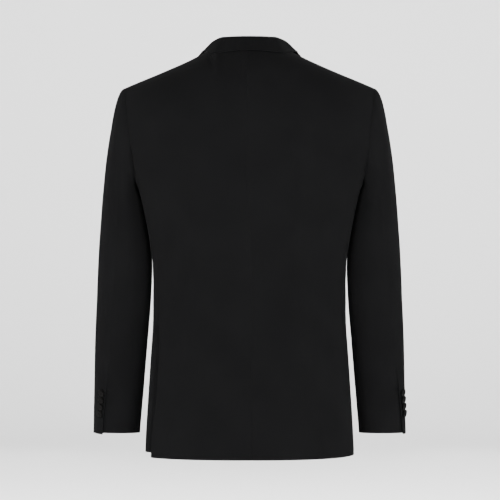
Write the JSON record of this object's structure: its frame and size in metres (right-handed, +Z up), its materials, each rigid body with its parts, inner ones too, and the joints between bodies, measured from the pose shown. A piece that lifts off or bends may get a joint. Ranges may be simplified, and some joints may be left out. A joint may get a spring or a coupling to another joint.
{
  "type": "single breasted blazer",
  "caption": "Hollow single breasted blazer in its worn shape: turned-down collar, notch lapels, centre back seam, side vents and two-piece sleeves with cuff buttons.",
  "frame": {"origin": "midway between the two points where the shoulder lines come out from under the collar, on the line of the shoulder seams, where the wearer's shoulders hold the jacket", "axes": "+Z up along the wearer, +X towards the wearer's left, -Y the way the wearer faces"},
  "size_m": [0.5775, 0.2729, 0.7619],
  "materials": {
    "black_wool": "matt fine worsted wool",
    "black_horn": "satin horn-like resin"
  },
  "bodies": {
    "root": {"back_left": "black_wool", "back_right": "black_wool", "side_left": "black_wool", "side_right": "black_wool", "front_left": "black_wool", "front_right": "black_wool", "top_sleeve_left": "black_wool", "top_sleeve_right": "black_wool", "under_sleeve_left": "black_wool", "under_sleeve_right": "black_wool", "collar": "black_wool", "lapel_left": "black_wool", "lapel_right": "black_wool", "flap_left": "black_wool", "flap_right": "black_wool", "breast_welt": "black_wool", "front_button_1": "black_horn", "front_button_2": "black_horn", "cuff_button_left_1": "black_horn", "cuff_button_left_2": "black_horn", "cuff_button_left_3": "black_horn", "cuff_button_left_4": "black_horn", "cuff_button_right_1": "black_horn", "cuff_button_right_2": "black_horn", "cuff_button_right_3": "black_horn", "cuff_button_right_4": "black_horn"}
  },
  "joints": []
}
